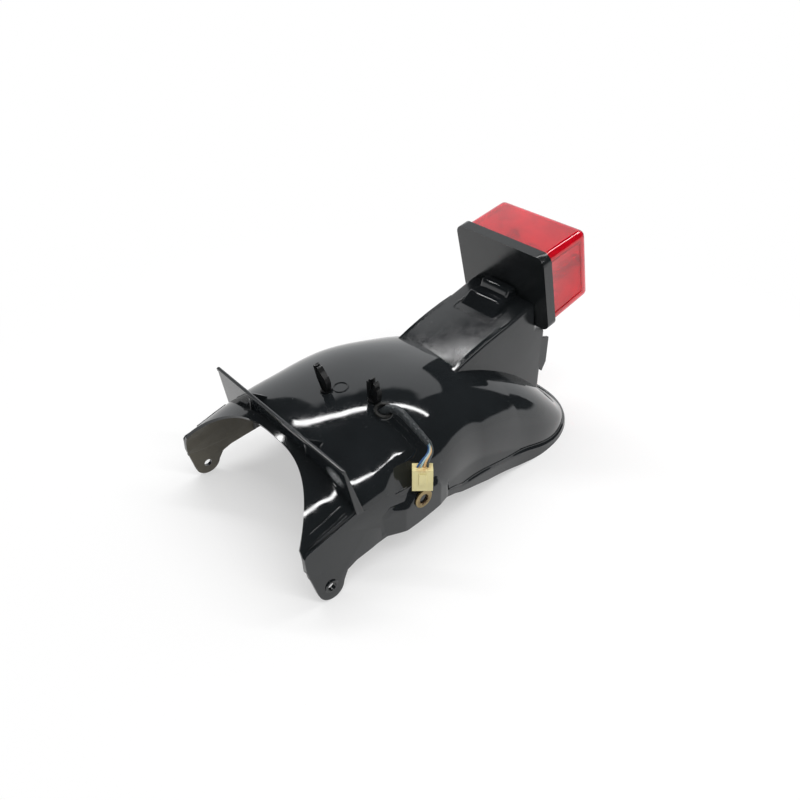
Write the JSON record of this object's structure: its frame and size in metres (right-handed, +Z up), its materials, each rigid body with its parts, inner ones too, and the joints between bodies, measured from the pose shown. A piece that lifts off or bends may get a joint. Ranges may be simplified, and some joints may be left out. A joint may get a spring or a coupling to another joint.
{
  "type": "motorcycle rear fender",
  "caption": "Moulded rear inner fender with an upright splash plate, a lamp tower, a square red tail lamp and its wiring with a white plug.",
  "frame": {"origin": "middle of the bounding box at the ground, where the two front ears and the tail lip stand", "axes": "+Z up, +Y back towards the tail lamp, +X towards the side with the plug"},
  "size_m": [0.2146, 0.3682, 0.1984],
  "materials": {
    "black_plastic": "glossy, lightly scuffed",
    "lamp_plastic": "semi-gloss",
    "clip_plastic": "matte",
    "plated_steel": "yellowish zinc plate",
    "bright_steel": "zinc plate",
    "red_lens": "clear red moulding",
    "clear_lens": "clear moulding",
    "bulb_glass": "clear glass",
    "reflector": "bright",
    "brass": "plain",
    "rubber": "matte",
    "sleeve": "soft vinyl",
    "wire_blue": "vinyl",
    "wire_light": "vinyl",
    "wire_yellow": "vinyl",
    "wire_grey": "vinyl",
    "ivory_plastic": "natural nylon"
  },
  "bodies": {
    "root": {"fender_shell": "black_plastic", "side_collar_right": "plated_steel", "side_collar_left": "plated_steel", "crest_clip": "clip_plastic", "side_clip": "clip_plastic", "outlet_grommet": "rubber", "lamp_base": "lamp_plastic", "lamp_studs": "bright_steel", "lamp_stud_washers": "bright_steel", "lamp_stud_nuts": "bright_steel", "lens_gasket": "rubber", "tail_lens": "red_lens", "plate_window": "clear_lens", "lens_screws": "bright_steel", "lens_screw_seals": "rubber", "reflector": "reflector", "bulb_socket": "bright_steel", "contact_disc": "brass", "contact_spring": "bright_steel", "tail_bulb": "bulb_glass", "lamp_grommet": "rubber", "lamp_lead": "sleeve", "harness_sleeve": "sleeve", "wire_blue": "wire_blue", "wire_light_blue": "wire_light", "wire_yellow": "wire_yellow", "wire_grey": "wire_grey", "connector_housing": "ivory_plastic", "connector_terminals": "brass"}
  },
  "joints": []
}
